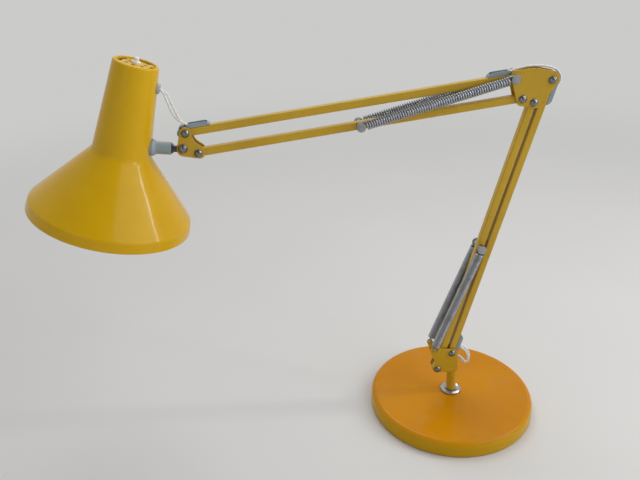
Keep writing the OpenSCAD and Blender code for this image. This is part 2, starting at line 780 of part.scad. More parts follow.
module head_stem() {
    color([0.32, 0.33, 0.34]) difference() {
        union() {
            eye_frame() rotate([90, 0, 0]) cylinder(d = eye_d, h = eye_t, center = true);
            stem_frame() on_stem(min(shaft_d + 0.6, eye_t - 0.2), 0, -shoulder_x);
            stem_frame() on_stem(shaft_d + 3.6, -shoulder_x + 1.8, -shoulder_x);
            stem_frame() on_stem(shaft_d, -shoulder_x + 1, shaft_end);
        }
        across(tilt_pivot, bolt_d + 2*run_gap, -big, big);
    }
}

module tilt_washers() {
    color([0.25, 0.2, 0.15]) for (s = [-1, 1]) difference() {
        across(tilt_pivot, eye_d - 1, s > 0 ? eye_t/2 + seat_gap : -eye_t/2 - tilt_washer_t,
            s > 0 ? eye_t/2 + tilt_washer_t : -eye_t/2 - seat_gap);
        across(tilt_pivot, bolt_d + 2*run_gap, -big, big);
    }
}

module stem_nut() {
    color(steel) stem_frame() difference() {
        translate([nut_x - stem_nut_t, 0, 0]) rotate([0, 90, 0])
            cylinder(d = shaft_d + 6, h = stem_nut_t, $fn = 6);
        on_stem(shaft_d + 2*seat_gap, 0, -stem_reach);
    }
}

// Shade

shade_line = rounded_line([[lip_d/2, neck_top_z - lip_h, 0], [lip_d/2, neck_top_z, 1.6],
    [neck_top_d/2, neck_top_z, 2.5], [neck_low_r, neck_low_z, 14], [crease_d/2, crease_z, 6],
    [mouth_d/2, mouth_z, 0]]);

// Solid cone of the neck, for what is shaped to its wall, moved out by d
module neck_cone(d) {
    rotate_extrude($fn = 192) polygon([[0, neck_low_z + 2], [neck_low_r - 2*neck_slope + d, neck_low_z + 2],
        [neck_top_d/2 + d, neck_top_z], [0, neck_top_z]]);
}

module stem_hole(d) {
    translate([0, 0, 0]) rotate([0, -stem_lift, 0]) rotate([0, 90, 0]) cylinder(d = d, h = neck_low_d);
}

module grommet_hole(d, x0, x1) {
    translate([x0, 0, grommet_z]) rotate([0, 90, 0]) cylinder(d = d, h = x1 - x0);
}

module shade_shell() {
    color(enamel) shade_frame() difference() {
        rotate_extrude($fn = 128) polygon(sheet(shade_line, shade_t));
        stem_hole(shaft_d + 1);
        grommet_hole(grommet_d + 2*seat_gap, 5, neck_low_d);
    }
}

vent_r = 18.2;
vent_w = 4.4;
vent_count = 4;
vent_arc = 54;
vent_turn = 70;
hole_r = 10.2;
hole_count = 6;
hole_turn = 20;

// Vented disc: a ring of curved slots near the edge and a ring of round holes
module shade_cap() {
    color(enamel) shade_frame() translate([0, 0, cap_z]) difference() {
        cylinder(r = neck_top_d/2 - shade_t - 0.6, h = cap_t);
        translate([0, 0, -1]) cylinder(d = bush_thread_d + 2*seat_gap, h = cap_t + 2);
        for (i = [0:vent_count - 1]) rotate(vent_turn + 360/vent_count*i) intersection() {
            translate([0, 0, -1]) difference() {
                cylinder(r = vent_r + vent_w/2, h = cap_t + 2);
                translate([0, 0, -1]) cylinder(r = vent_r - vent_w/2, h = cap_t + 4);
            }
            translate([0, 0, -1]) linear_extrude(cap_t + 2) polygon([[0, 0],
                2*vent_r*[cos(vent_arc/2), -sin(vent_arc/2)],
                2*vent_r*[cos(vent_arc/2), sin(vent_arc/2)]]);
        }
        for (i = [0:hole_count - 1]) rotate(hole_turn + 360/hole_count*i)
            translate([hole_r, 0, -1]) cylinder(d = vent_w, h = cap_t + 2);
    }
}

grommet_d = 7.6;

module shade_grommet() {
    wall = neck_low_r - neck_slope*(grommet_z - neck_low_z);
    color(grey) shade_frame() difference() {
        union() {
            difference() {
                grommet_hole(grommet_d + 4, wall - 2, wall + 2.8);
                neck_cone(0.1);
            }
            grommet_hole(grommet_d, wall - shade_t - 1.5, wall + 1);
        }
        grommet_hole(flex_w + 2*clear, 0, neck_low_d);
    }
}

flange_d = neck_collar_d + 5.2;
flange_deep = 4.5;
collar_len = stem_reach - wall_x + flange_deep - shoulder_x - run_gap;
collar_line = rounded([[0, 0, 0.01], [flange_d/2, 0, 0.01], [flange_d/2, flange_deep + 1.2, 0.6],
    [neck_collar_d/2, flange_deep + 5, 5], [neck_collar_d/2, collar_len, 0.8], [0, collar_len, 0.01]]);

// Collar flared to a flange that is shaped to the neck
module stem_collar() {
    color(grey) difference() {
        stem_frame() difference() {
            translate([-stem_reach + wall_x - flange_deep, 0, 0]) rotate([0, 90, 0])
                rotate_extrude() polygon(collar_line);
            on_stem(shaft_d + 2*run_gap, 0, -stem_reach);
        }
        shade_frame() neck_cone(0.1);
    }
}

module stem_saddle() {
    color(grey) intersection() {
        stem_frame() difference() {
            on_stem(neck_collar_d - 1, -stem_reach + wall_x, nut_x + run_gap);
            on_stem(shaft_d + 2*run_gap, 0, -stem_reach);
        }
        shade_frame() neck_cone(-shade_t - 0.1);
    }
}

module lampholder() {
    bore = 28;
    color([0.12, 0.12, 0.12]) shade_frame() difference() {
        union() {
            translate([0, 0, holder_low]) cylinder(d = holder_d, h = holder_top - holder_low);
            translate([0, 0, holder_top - eps])
                cylinder(d1 = holder_d, d2 = 16, h = cap_z - holder_top + eps);
            translate([0, 0, cap_z - eps]) cylinder(d = bush_thread_d, h = cap_t + bezel_h - 0.6);
        }
        translate([0, 0, holder_low - 1]) cylinder(d = bore, h = 41);
        translate([0, 0, holder_top]) cylinder(d = button_d + 2*run_gap, h = neck_h);
        grommet_hole(flex_w + 1, 14, neck_low_d);
    }
}

bulb_r = bulb_d/2;
bulb_neck_r = 15;
bulb_mid = holder_low - 51;
bulb_line = let (rise = holder_low - 2 - bulb_mid, far = norm([bulb_neck_r, rise]))
    let (from = atan2(bulb_neck_r, rise) + acos(bulb_r/far))
    concat([for (i = [0:18]) let (w = 180 - (180 - from)*i/18) [bulb_r*sin(w), bulb_mid + bulb_r*cos(w)]],
        [[bulb_neck_r, holder_low - 2], [bulb_neck_r - 1.6, holder_low - 0.6],
            [bulb_neck_r - 1.6, holder_low + 1]]);

module bulb_glass() {
    inner = right_of(reversed(bulb_line), 0.9);
    color([0.95, 0.95, 0.9]) shade_frame() rotate_extrude()
        polygon(concat(bulb_line, [for (p = inner) [max(0, p[0]), p[1]]]));
}

module bulb_cap() {
    color([0.75, 0.7, 0.55]) shade_frame() {
        translate([0, 0, holder_low + 1 + seat_gap]) cylinder(r = bulb_neck_r - 1.4, h = 24);
        translate([0, 0, holder_low + 25]) cylinder(d1 = 2*bulb_neck_r - 4, d2 = 9, h = 4);
    }
}

module switch_bezel() {
    color(white) shade_frame() translate([0, 0, cap_z + cap_t]) difference() {
        rotate_extrude() polygon(rounded([[0, 0, 0.01], [bezel_d/2, 0, 0.3], [bezel_d/2, bezel_h, 1],
            [0, bezel_h, 0.01]]));
        translate([0, 0, -1]) cylinder(d = bush_thread_d + 2*seat_gap, h = bezel_h + 0.4);
        cylinder(d = button_d + 2*run_gap, h = 2*bezel_h);
    }
}

module switch_button() {
    low = holder_top + button_travel + 0.5;
    h = cap_z + cap_t + bezel_h + button_show - low;
    color(white) shade_frame() translate([0, 0, low]) rotate_extrude()
        polygon(rounded([[0, 0, 0.01], [button_d/2, 0, 0.2], [button_d/2, h, 1], [0, h, 0.01]]));
}

// Flat twin flex, from the shade to the base

// Points of a run inside a tube, from dips near both ends, on the tube's side given by s
function tube_run(p, dir, length, first, last, s) = let (side = s*[-dir[1], dir[0]])
    concat([for (e = first) p + e[0]*dir + e[1]*side],
        [for (i = [1:5]) p + (first[len(first) - 1][0] + (length - 66)*i/6)*dir],
        [for (e = reversed(last)) p + (length - e[0])*dir + e[1]*side]);

module flex_upper_run() {
    run = tube_run(head_top_pivot, -upper_dir, upper_len, flex_dive, flex_dive, 1);
    flex_along([for (p = run) to3(p)]);
}

module flex_lower_run() {
    run = tube_run(lower_rear_pivot, lower_dir, lower_len, flex_rise_low, flex_rise_top, -1);
    flex_along([for (p = run) to3(p)]);
}

module flex_head_loop() {
    flex_along([for (p = flex_head_route) to3(p)]);
}

module flex_elbow_loop() {
    flex_along([for (p = flex_elbow_route) to3(p)]);
}

module flex_base_loop() {
    flex_along([for (p = flex_base_route) to3(p)]);
}

module flex_post_run() {
    color(white) sweep([for (p = flex_post_route) [0, p[0], p[1]]], flex_section, [1, 0, 0]);
}

base_cover();
base_weight();
base_felt();
base_collar();
collar_nut();
lead_gland();
pivot_post();
swivel_bracket();
bracket_bolts();
bracket_nuts();
bracket_washers();
lower_front_tube();
lower_front_bushes();
lower_spring_pin();
lower_spring_front();
lower_spring_back();
lower_rear_tube();
lower_rear_bushes();
lower_flex_guides();
elbow_plate_front();
elbow_plate_back();
elbow_bolts();
elbow_nuts();
elbow_washers();
elbow_spring_pin();
upper_top_tube();
upper_top_bushes();
upper_flex_guide();
head_flex_guide();
upper_bottom_tube();
upper_bottom_bushes();
upper_spring_pin();
upper_spring_front();
upper_spring_back();
head_plate_front();
head_plate_back();
head_bolts();
head_nuts();
head_washers();
tilt_bolt();
tilt_nut();
head_stem();
tilt_washers();
stem_nut();
shade_shell();
shade_cap();
stem_collar();
stem_saddle();
shade_grommet();
lampholder();
bulb_glass();
bulb_cap();
switch_bezel();
switch_button();
flex_upper_run();
flex_lower_run();
flex_head_loop();
flex_elbow_loop();
flex_base_loop();
flex_post_run();
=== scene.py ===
import json
import math

import bmesh
import bpy
import numpy as np
from mathutils import Matrix, Vector


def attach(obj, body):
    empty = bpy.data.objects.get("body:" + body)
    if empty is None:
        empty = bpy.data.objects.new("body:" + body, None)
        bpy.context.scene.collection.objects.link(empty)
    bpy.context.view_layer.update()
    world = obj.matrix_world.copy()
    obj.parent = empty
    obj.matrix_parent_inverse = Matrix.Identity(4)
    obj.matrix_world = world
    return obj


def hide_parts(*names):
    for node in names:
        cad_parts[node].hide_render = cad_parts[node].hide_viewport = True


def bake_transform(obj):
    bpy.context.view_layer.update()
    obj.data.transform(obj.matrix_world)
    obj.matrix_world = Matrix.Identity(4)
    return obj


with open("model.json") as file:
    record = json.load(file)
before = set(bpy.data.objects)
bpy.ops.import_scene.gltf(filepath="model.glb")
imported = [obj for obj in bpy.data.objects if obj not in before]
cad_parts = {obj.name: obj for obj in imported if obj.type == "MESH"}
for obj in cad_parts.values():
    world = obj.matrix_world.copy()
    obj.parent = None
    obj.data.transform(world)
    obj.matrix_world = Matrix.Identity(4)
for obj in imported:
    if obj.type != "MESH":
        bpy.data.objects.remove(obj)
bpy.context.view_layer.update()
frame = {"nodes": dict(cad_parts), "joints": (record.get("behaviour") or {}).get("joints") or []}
parts = frame["nodes"]

# Camera: a little above the elbow, to the left of the base, looking down at the whole lamp.
# It has a 36 mm lens and tips slightly, as a hand-held one does.
picture_pixels, focal_pixels = 640, 644.03
sensor_wide = 36
eye = (-0.23696, -0.74235, 0.62931)
yaw, pitch, tip = (math.radians(a) for a in (3.91, 25.48, -1.41))
ahead = Vector((math.sin(yaw)*math.cos(pitch), math.cos(yaw)*math.cos(pitch), -math.sin(pitch)))
level = Vector((math.cos(yaw), -math.sin(yaw), 0))
upright = level.cross(ahead)
rightward = math.cos(tip)*level + math.sin(tip)*upright
upward = math.cos(tip)*upright - math.sin(tip)*level
camera = bpy.data.objects.new("camera", bpy.data.cameras.new("camera"))
bpy.context.scene.collection.objects.link(camera)
camera.data.sensor_width = sensor_wide
camera.data.lens = sensor_wide*focal_pixels/picture_pixels
camera.data.clip_start = 0.01
camera.data.clip_end = 60
camera.matrix_world = Matrix.Translation(eye) @ Matrix((rightward, upward, -ahead)).transposed().to_4x4()
bpy.context.scene.camera = camera

# Flex: flat white twin flex, two plastic-sheathed strands side by side, 5 mm wide. It leaves the shade's
# neck, runs inside the upper tube and the rear lower tube, loops over each pivot with a little slack,
# and goes down the hollow post. Where it hangs free at the head the two strands have parted.
MM = 0.001
pivot = {j["name"]: Vector(j["pos_m"]) for j in frame["joints"] if j["type"] == "hinge"}
strand_r, strand_half = 1.25*MM, 1.2*MM
strand_corners = 10
flex_step, post_step = 1.1*MM, 3*MM


def by_pivot(name, places):
    """Places in the arms' plane, given in mm from a pivot."""
    return [pivot[name] + Vector((x*MM, 0, z*MM)) for x, z in places]


def in_tube(start, end, places, side=1):
    """Places in a tube, given in mm along it from its pivot and out to one side."""
    along = (pivot[end] - pivot[start]).normalized()
    out = side*Vector((-along.z, 0, along.x))
    return [pivot[start] + s*MM*along + h*MM*out for s, h in places]


def length_along(line):
    """Distance of each point of a line from its start."""
    return np.concatenate([[0], np.cumsum(np.linalg.norm(np.diff(line, axis=0), axis=1))])


def smooth_line(places, step):
    """A curve through chosen places, cut into equal steps."""
    p = np.array([list(v) for v in places], float)
    p = np.vstack([2*p[0] - p[1], p, 2*p[-1] - p[-2]])
    t = np.linspace(0, 1, 24, endpoint=False)[:, None]
    fine = [0.5*(2*b + (c - a)*t + (2*a - 5*b + 4*c - d)*t*t + (3*b - a - 3*c + d)*t**3)
            for a, b, c, d in zip(p, p[1:], p[2:], p[3:])]
    fine = np.vstack([*fine, p[-2:-1]])
    far = length_along(fine)
    spots = np.linspace(0, far[-1], max(2, round(far[-1]/step) + 1))
    return np.stack([np.interp(spots, far, fine[:, i]) for i in range(3)], axis=1)


def ease(x):
    """A change from 0 to 1 that starts and ends gently."""
    x = np.clip(x, 0, 1)
    return x*x*(3 - 2*x)


def swell(far, start, rise, end, fall):
    """Grows from 0 to 1 over a rise after start, and goes back to 0 over a fall before end."""
    return ease((far - start)/rise)*ease((end - far)/fall)


def sides_along(line, across):
    """Two directions square to a line at each of its points, carried along it without twist."""
    heading = np.gradient(line, axis=0)
    heading /= np.linalg.norm(heading, axis=1)[:, None]
    n, first = np.array(across, float), []
    for t in heading:
        n = n - t*(n @ t)
        n = n/np.linalg.norm(n)
        first.append(n)
    first = np.array(first)
    return first, np.cross(heading, first)


def piece_from(name, points, faces, finish):
    """A piece of the lamp from its points and faces, shaded smooth, with its finish."""
    mesh = bpy.data.meshes.new(name)
    mesh.from_pydata([tuple(p) for p in points], [], faces)
    shape = bmesh.new()
    shape.from_mesh(mesh)
    bmesh.ops.recalc_face_normals(shape, faces=shape.faces)
    shape.to_mesh(mesh)
    shape.free()
    mesh.polygons.foreach_set("use_smooth", [True]*len(mesh.polygons))
    mesh.set_sharp_from_angle(angle=math.radians(60))
    mesh.materials.append(finish)
    piece = bpy.data.objects.new(name, mesh)
    bpy.context.scene.collection.objects.link(piece)
    return piece


def round_wires(name, lines, radius, corners, across, finish):
    """Round wires along lines, closed at both ends."""
    points, faces = [], []
    angle = np.linspace(0, 2*math.pi, corners, endpoint=False)[None, :, None]
    for line in lines:
        a, b = sides_along(line, across)
        ring = line[:, None] + radius*(np.cos(angle)*a[:, None] + np.sin(angle)*b[:, None])
        first, last = len(points), len(points) + (len(line) - 1)*corners
        points.extend(ring.reshape(-1, 3))
        for i in range(first, last, corners):
            for j in range(corners):
                k = (j + 1) % corners
                faces.append((i + j, i + corners + j, i + corners + k, i + k))
        faces.append(tuple(range(first, first + corners)))
        faces.append(tuple(range(last, last + corners)))
    return piece_from(name, points, faces, finish)


def bend_by(share, corners):
    """Repeats a share for each ring of a wire's points over the ring's points; the result is not kept."""
    share = np.repeat(share, corners).astype(np.float32)


class Layer:
    """One number, colour or direction that changes over a finish: a socket of its node tree."""

    def __init__(self, tree, socket=None):
        self.tree, self.socket = tree, socket

    def node(self, kind, settings={}, inputs={}, out=0):
        """A new node of some kind, with its settings and what goes into its sockets."""
        made = self.tree.nodes.new(kind)
        for key, value in settings.items():
            setattr(made, key, value)
        for key, value in inputs.items():
            if isinstance(value, Layer):
                self.tree.links.new(value.socket, made.inputs[key])
            else:
                made.inputs[key].default_value = value
        return Layer(self.tree, made.outputs[out] if made.outputs else None)

    def maths(self, operation, a, b):
        """A sum on two values, by the name of its operation."""
        return self.node("ShaderNodeMath", {"operation": operation}, {0: a, 1: b})

    def __add__(self, other):
        return self.maths("ADD", self, other)

    def __sub__(self, other):
        return self.maths("SUBTRACT", self, other)

    def __rsub__(self, other):
        return self.maths("SUBTRACT", other, self)

    def __mul__(self, other):
        return self.maths("MULTIPLY", self, other)

    __radd__, __rmul__ = __add__, __mul__


def paint(red, green, blue):
    """A colour as it looks, from 0 to 255, in the shader's own scale."""
    return tuple(c/12.92 if c <= 0.04045 else ((c + 0.055)/1.055)**2.4
                 for c in (red/255, green/255, blue/255)) + (1,)


def new_finish(name):
    """An empty finish, and the layer that its nodes start from."""
    material = bpy.data.materials.new(name)
    material.use_nodes = True
    material.node_tree.nodes.clear()
    return material, Layer(material.node_tree)


def mottle(coat, scale, detail=3.0, stretch=(1, 1, 1)):
    """Uneven patches from 0 to 1, about 1/scale metres across."""
    place = coat.node("ShaderNodeTexCoord", out="Object")
    if stretch != (1, 1, 1):
        place = coat.node("ShaderNodeVectorMath", {"operation": "MULTIPLY"}, {0: place, 1: stretch})
    return coat.node("ShaderNodeTexNoise", {}, {"Vector": place, "Scale": scale, "Detail": detail})


def between(value, low, high):
    """0 where a value is at low, 1 at high, and a gentle change between."""
    return value.node("ShaderNodeMapRange", {"interpolation_type": "SMOOTHSTEP"},
                      {"Value": value, "From Min": low, "From Max": high})


def mixed(share, first, second):
    """The first colour where share is 0 and the second where it is 1."""
    return share.node("ShaderNodeMix", {"data_type": "RGBA"}, {0: share, 6: first, 7: second}, out=2)


def close_finish(coat, height, depth, normal=None, **sockets):
    """Puts a finish together from its shader's sockets and a bump of some depth in metres."""
    sockets = {key.replace("_", " "): value for key, value in sockets.items()}
    bump = {"Strength": 1.0, "Distance": depth, "Height": height}
    if normal is not None:
        bump["Normal"] = normal
    sockets["Normal"] = coat.node("ShaderNodeBump", {}, bump)
    shader = coat.node("ShaderNodeBsdfPrincipled", {}, sockets)
    coat.node("ShaderNodeOutputMaterial", {}, {"Surface": shader})


flex_sheath, coat = new_finish("flex_sheath")
yellowed = between(mottle(coat, 45), 0.35, 0.7)
handled = between(mottle(coat, 240, 5), 0.5, 0.75)
sheath_white = mixed(yellowed, paint(230, 235, 239), paint(226, 225, 217))
close_finish(coat, mottle(coat, 900), 0.06*MM,
             Base_Color=mixed(handled*0.35, sheath_white, paint(196, 193, 184)),
             Roughness=0.36 + 0.2*handled)


def on_axis(inset, length):
    """Five places on a tube's axis, evenly spaced between two that lie an inset from its pivots."""
    return [(inset + (length - 2*inset)*i/6, 0) for i in range(1, 6)]


def from_end(length, places):
    """Places in a tube that are given from its far pivot, as seen from its near one."""
    return [(length - s, h) for s, h in places]


upper_inset, lower_inset = 31, 33
dive = [(4.6, 7.5), (8.2, 7), (12.6, 5.2), (18, 2.8), (24, 0.9), (upper_inset, 0)]
rise_low = [(14.6, 7.3), (18, 5.3), (22, 3.1), (27, 1), (lower_inset, 0)]
rise_top = [(9.6, 8.4), (13, 6.6), (17, 4.4), (21.5, 2.2), (26.5, 0.7), (lower_inset, 0)]
lower_len = (pivot["elbow_level"] - pivot["lower_arm"]).length/MM
upper_len = (pivot["upper_arm"] - pivot["head_level"]).length/MM
flex_line = smooth_line([
    *by_pivot("head_level", [(-37.6, 55), (-33, 53.6), (-29.2, 52.4), (-25.4, 51.2), (-21.4, 49.2),
                             (-18, 44.8), (-15.6, 38), (-13.4, 30.6), (-11, 23.6), (-8, 17.6), (-4, 13),
                             (0.4, 9.8)]),
    *in_tube("head_level", "upper_arm",
             dive + on_axis(upper_inset, upper_len) + from_end(upper_len, dive[::-1])),
    *by_pivot("elbow_level", [(-47, 11.4), (-42, 13), (-36, 14.4), (-29, 15.6), (-21, 16), (-12, 15.6),
                              (-4, 14.4), (3, 12), (8.6, 8), (11.6, 2.4), (11.4, -3.4), (9, -7.6)]),
    *in_tube("lower_arm", "elbow_level",
             from_end(lower_len, rise_top) + on_axis(lower_inset, lower_len)[::-1] + rise_low[::-1],
             side=-1),
    *by_pivot("lower_arm", [(12.4, 9.2), (15.2, 6.2), (18.8, 3), (22.4, -1), (25.6, -6.8), (26.8, -13.2),
                            (26, -19), (23, -21.6), (19.6, -19), (16, -14.4), (12.4, -10.8), (8.4, -10.2),
                            (5.2, -13.8), (4.4, -19.2), (4.4, -24.2)]),
], flex_step)
flex_far = length_along(flex_line)
flex_end = flex_far[-1]


def flex_by(spot):
    """Distance along the flex of its point nearest to a spot."""
    return flex_far[np.linalg.norm(flex_line - np.array(spot), axis=1).argmin()]


def flex_at(start, end, along):
    """Distance along the flex of a place in a tube, some mm from its pivot."""
    return flex_by(in_tube(start, end, [(along, 0)])[0])


def flex_piece(name, start, end, node, bodies, eases=None, part=None, turn=None, step=1):
    """One stretch of the flex: it rides on one body, or is left where it lies when it runs between two."""
    chosen = (flex_far >= start - 1e-9) & (flex_far <= end + 1e-9)
    line, far = flex_line[chosen][::step], flex_far[chosen][::step]
    half = strand_half + (part(far) if part else 0*far)
    lay = turn(far) if turn else 0*far
    a, b = sides_along(line, (0, 1, 0))
    off = half[:, None]*(np.cos(lay)[:, None]*a + np.sin(lay)[:, None]*b)
    piece = round_wires(name, [line + off, line - off], strand_r, strand_corners, (0, 1, 0), flex_sheath)
    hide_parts(node)
    if len(bodies) == 1:
        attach(piece, bodies[0])
        return
    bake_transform(piece)
    bend_by(np.tile(ease((far - eases[0])/(eases[1] - eases[0])), 2), strand_corners)


upper_lip, upper_hidden = 5, 38
elbow_lip, bracket_lip, lower_hidden = 9, 14, 40
off_grommet = 12.5*MM
by_neck, by_stem = (flex_far[abs(flex_far - d*MM).argmin()] for d in (31.6, 63.2))
at_mouth = flex_at("head_level", "upper_arm", upper_lip)
in_head = flex_at("head_level", "upper_arm", upper_hidden)
in_top = flex_at("upper_arm", "head_level", upper_hidden)
top_mouth = flex_at("upper_arm", "head_level", upper_lip)
over_elbow = flex_by(by_pivot("elbow_level", [(-12, 15.6)])[0])
elbow_mouth = flex_at("elbow_level", "lower_arm", elbow_lip)
in_elbow = flex_at("elbow_level", "lower_arm", lower_hidden)
in_low = flex_at("lower_arm", "elbow_level", lower_hidden)
low_mouth = flex_at("lower_arm", "elbow_level", bracket_lip)
at_post = flex_end - 4*MM


def parted(far):
    """How far each strand stands off from the other in the loop at the head."""
    return 0.75*MM*swell(far, 16*MM, 18*MM, 62*MM, 20*MM)


def fanned(far):
    """How far the two strands turn round each other in the loop at the head, in radians."""
    return 1.2*swell(far, 14*MM, 14*MM, 66*MM, 24*MM)


def parted_low(far):
    """How far each strand stands off from the other in the loop by the bracket."""
    return 0.45*MM*swell(far, low_mouth, 10*MM, low_mouth + 40*MM, 16*MM)


def quarter_turn(far):
    """A turn of the flex in the loop by the bracket, most of it at the tube and the rest at the post."""
    most = 1.05
    return (most*ease((far - low_mouth)/(12*MM))
            + (math.pi/2 - most)*ease((far - flex_end + 20*MM)/(18*MM)))


flex_piece("flex_from_shade", 0, by_neck, "flex_head_loop", ("shade", "stem"),
           (off_grommet, by_neck), parted, fanned)
flex_piece("flex_by_stem", by_neck, by_stem, "flex_head_loop", ("stem", "knuckle"),
           (by_neck, by_stem), parted, fanned)
flex_piece("flex_into_head", by_stem, in_head, "flex_head_loop", ("knuckle", "upper_top_link"),
           (by_stem, at_mouth), parted, fanned)
flex_piece("flex_in_upper_tube", in_head, in_top, "flex_upper_run", ("upper_top_link",), step=4)
flex_piece("flex_onto_elbow", in_top, over_elbow, "flex_elbow_loop", ("upper_top_link", "elbow"),
           (top_mouth, over_elbow))
flex_piece("flex_off_elbow", over_elbow, in_elbow, "flex_elbow_loop", ("elbow", "lower_rear_link"),
           (over_elbow, elbow_mouth))
flex_piece("flex_in_lower_tube", in_elbow, in_low, "flex_lower_run", ("lower_rear_link",), step=4)
flex_piece("flex_by_bracket", in_low, flex_end, "flex_base_loop", ("lower_rear_link", "bracket"),
           (low_mouth, at_post), parted_low, quarter_turn)
post_line = smooth_line([(0, y*MM, z*MM) for y, z in (
    (0, 65.4), (0, 56), (0, 46), (0, 36), (0, 26), (0, 16), (0.8, 10.6), (3.4, 7), (8, 5.8), (18, 5.8),
    (38, 5.8), (58, 5.8), (78, 6), (94, 7), (106, 8), (115, 8))], post_step)
to_strand = np.array((strand_half, 0, 0))
post_flex = round_wires("flex_in_post", [post_line + to_strand, post_line - to_strand], strand_r,
                        strand_corners, (1, 0, 0), flex_sheath)
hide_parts("flex_post_run")
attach(post_flex, "base")

# Base: a spun steel cover, stove-enamelled yellow, with a rounded top edge, pressed over a cast-iron ring.
# Its gloss has a fine orange peel, faint wipe marks and a little dust on the flat top, which is painted a
# warmer orange-yellow than the yellow side, as painted warm light.


def rounded(coat, width):
    """A direction that rounds sharp edges over a width."""
    return coat.node("ShaderNodeBevel", {"samples": 4}, {"Radius": width})


def near_edge(coat, soft):
    """How close each spot is to a sharp edge, from the direction that rounds it."""
    plain = coat.node("ShaderNodeNewGeometry", out="Normal")
    same = coat.node("ShaderNodeVectorMath", {"operation": "DOT_PRODUCT"}, {0: soft, 1: plain}, out="Value")
    return 1 - same


def in_corners(coat, reach):
    """How far each spot lies in a corner or under an overhang within reach, from 0 to 1."""
    return 1 - coat.node("ShaderNodeAmbientOcclusion", {"samples": 6}, {"Distance": reach}, out="AO")


def dress(finish, *names, keep=32):
    """Gives solids of the frame a finish, with even shading over curves and crisp edges."""
    for name in names:
        mesh = parts[name].data
        mesh.materials.clear()
        mesh.materials.append(finish)
        made = mesh.attributes.get("custom_normal")
        if made:
            mesh.attributes.remove(made)
        mesh.polygons.foreach_set("use_smooth", [True]*len(mesh.polygons))
        parts[name].modifiers.new("join", "WELD").merge_threshold = 0.01*MM
        parts[name].modifiers.new("edges", "EDGE_SPLIT").split_angle = math.radians(keep)
        parts[name].modifiers.new("faces", "WEIGHTED_NORMAL")


def enamel(name, body, deep, dust, gloss, clear=0.3, flank=None, rounding=0.6*MM):
    """Glossy stove enamel: its deeper patches, dust on top, chipped sheet edges, a painted highlight along
    sharp edges and painted shade in corners.
    """
    dust_tone, edge_highlight_tone = paint(206, 190, 140), paint(240, 206, 88)
    corner_shade_tone, bare_steel = paint(84, 54, 12), paint(74, 62, 48)
    finish, coat = new_finish(name)
    soft = rounded(coat, rounding)
    edge = near_edge(coat, soft)
    facing = coat.node("ShaderNodeNewGeometry", out="Normal")
    up = coat.node("ShaderNodeSeparateXYZ", {}, {0: facing}, out="Z")
    settled = between(up, 0.75, 0.98)*between(mottle(coat, 26, 6), 0.42, 0.75)*dust
    wiped = between(mottle(coat, 9, 4, (1, 1, 3)), 0.35, 0.75)
    chipped = between(edge, 0.06, 0.3)*between(mottle(coat, 420, 5), 0.55, 0.63)
    corner_shade_and_grime = between(in_corners(coat, 7*MM), 0.4, 0.95)
    colour = mixed(between(mottle(coat, 12), 0.3, 0.7), body, deep)
    # Upward faces keep the body colour and the sides take the flank colour; on the base the warmer top is
    # painted warm light.
    if flank:
        colour = mixed(between(up, 0.25, 0.95), flank, colour)
    colour = mixed(settled, colour, dust_tone)
    # Sharp edges are painted lighter, as a highlight.
    colour = mixed(between(edge, 0.02, 0.2)*0.55, colour, edge_highlight_tone)
    # Corners are painted darker, as shade; the same mask also roughens the finish and thins its clear coat,
    # as grime.
    colour = mixed(corner_shade_and_grime*0.75, colour, corner_shade_tone)
    close_finish(coat, mottle(coat, 750, 1), 0.012*MM, soft,
                 Base_Color=mixed(chipped, colour, bare_steel),
                 Roughness=0.26 + 0.1*wiped + 0.35*settled + 0.4*chipped + 0.35*corner_shade_and_grime,
                 Specular_IOR_Level=gloss, Coat_Weight=clear - clear*(chipped + corner_shade_and_grime), Coat_Roughness=0.09)
    return finish


# The top's orange is painted warm light; the flank is the enamel's yellow.
base_enamel = enamel("base_enamel", paint(204, 135, 5), paint(197, 127, 4), dust=0.05, gloss=0.06, clear=0.2,
                     flank=paint(200, 153, 6))
dress(base_enamel, "base_cover")

# Weight and foot of the base: a rough cast-iron ring with a groove for the flex, held in the cover by the
# collar's nut, and a green felt disc glued under both.
cast_iron, coat = new_finish("cast_iron")
rust = between(mottle(coat, 60, 6), 0.52, 0.7)
close_finish(coat, mottle(coat, 700, 6), 0.3*MM,
             Base_Color=mixed(rust*0.7, paint(72, 72, 74), paint(96, 64, 44)),
             Roughness=0.62 + 0.25*rust, Metallic=0.8 - 0.7*rust)
dress(cast_iron, "base_weight")
felt, coat = new_finish("felt")
fibre = mottle(coat, 1400, 6, (1, 1, 0.3))
close_finish(coat, fibre, 0.4*MM, Base_Color=mixed(fibre, paint(40, 58, 44), paint(66, 84, 68)),
             Roughness=0.94 + 0.05*fibre, Sheen_Weight=0.3)
dress(felt, "base_felt")

# Collar on the base: a turned and chromed flange with a threaded socket, clamped under the cover by a
# zinc-plated ring nut. The chrome has hairline scratches round it and a slight haze from handling.


def shaded_in_corners(coat, reach, start, full, unshaded, shaded_tone):
    """A colour that goes over to a darker tone in the corners within reach, as painted shade."""
    return mixed(between(in_corners(coat, reach), start, full), unshaded, shaded_tone)


chrome, coat = new_finish("chrome")
haze = between(mottle(coat, 130, 5), 0.45, 0.8)
hairline = mottle(coat, 900, 2, (1, 1, 5))
bright = mixed(haze, paint(186, 187, 191), paint(158, 159, 162))
# The chrome darkens to near black within 3 mm of corners, as painted shade.
close_finish(coat, hairline, 0.006*MM,
             Base_Color=shaded_in_corners(coat, 3*MM, 0.35, 0.9, bright, paint(46, 44, 42)),
             Roughness=0.24 + 0.14*haze, Metallic=1.0)
dress(chrome, "base_collar")
zinc, coat = new_finish("zinc_plate")
spangle = mottle(coat, 320, 4)
dull = between(mottle(coat, 70, 5), 0.4, 0.75)
plated = mixed(dull, paint(168, 171, 173), paint(136, 138, 138))
